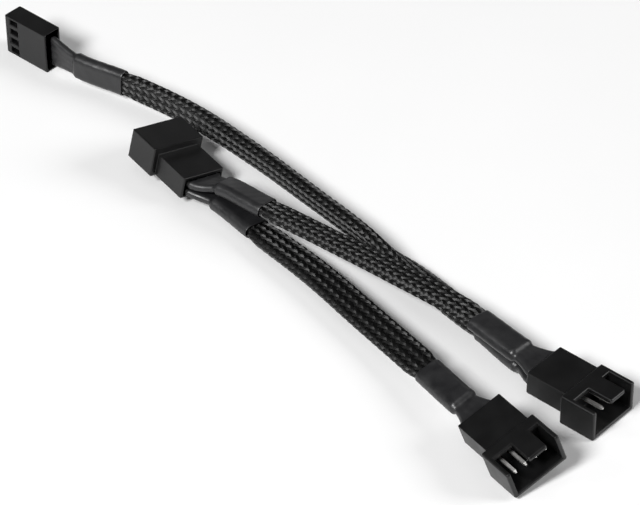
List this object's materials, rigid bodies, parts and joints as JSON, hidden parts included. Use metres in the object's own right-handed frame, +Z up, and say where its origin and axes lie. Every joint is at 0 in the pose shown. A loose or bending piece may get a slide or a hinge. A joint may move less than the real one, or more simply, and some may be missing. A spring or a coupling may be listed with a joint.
{
  "type": "fan splitter cable",
  "caption": "Cable that splits a fan header between fans: a socket, then plugs in a row, joined by flat woven sleeves with heat-shrink at each end.",
  "frame": {"origin": "middle of the bottom of the box round the connectors, on the surface the cable lies on", "axes": "+X from the socket towards the plugs at the far end, +Z up, +Y towards the socket's side"},
  "size_m": [0.1862, 0.0491, 0.0116],
  "materials": {
    "black_plastic": "matt",
    "tinned_metal": "bright tin plate",
    "woven_sleeve": "woven, slightly shiny strands",
    "heat_shrink": "satin",
    "wire_insulation": "smooth"
  },
  "bodies": {
    "root": {"socket_housing": "black_plastic", "socket_contact_1": "tinned_metal", "socket_contact_2": "tinned_metal", "socket_contact_3": "tinned_metal", "socket_contact_4": "tinned_metal", "plug_a_housing": "black_plastic", "plug_a_contact_1": "tinned_metal", "plug_a_contact_2": "tinned_metal", "plug_a_contact_3": "tinned_metal", "plug_a_contact_4": "tinned_metal", "plug_b_housing": "black_plastic", "plug_b_contact_1": "tinned_metal", "plug_b_contact_2": "tinned_metal", "plug_b_contact_3": "tinned_metal", "plug_b_contact_4": "tinned_metal", "plug_c_housing": "black_plastic", "plug_c_contact_1": "tinned_metal", "plug_c_contact_2": "tinned_metal", "plug_c_contact_3": "tinned_metal", "plug_c_contact_4": "tinned_metal", "sleeve_1": "woven_sleeve", "sleeve_2": "woven_sleeve", "sleeve_3": "woven_sleeve", "shrink_1_socket": "heat_shrink", "shrink_1_plug_a": "heat_shrink", "shrink_2_plug_b": "heat_shrink", "shrink_2_plug_a": "heat_shrink", "shrink_3_plug_b": "heat_shrink", "shrink_3_plug_c": "heat_shrink", "cable_1_wire_1": "wire_insulation", "cable_1_wire_2": "wire_insulation", "cable_1_wire_3": "wire_insulation", "cable_1_wire_4": "wire_insulation", "cable_2_wire_1": "wire_insulation", "cable_2_wire_2": "wire_insulation", "cable_2_wire_3": "wire_insulation", "cable_2_wire_4": "wire_insulation", "cable_3_wire_1": "wire_insulation", "cable_3_wire_2": "wire_insulation", "cable_3_wire_3": "wire_insulation", "cable_3_wire_4": "wire_insulation"}
  },
  "joints": []
}
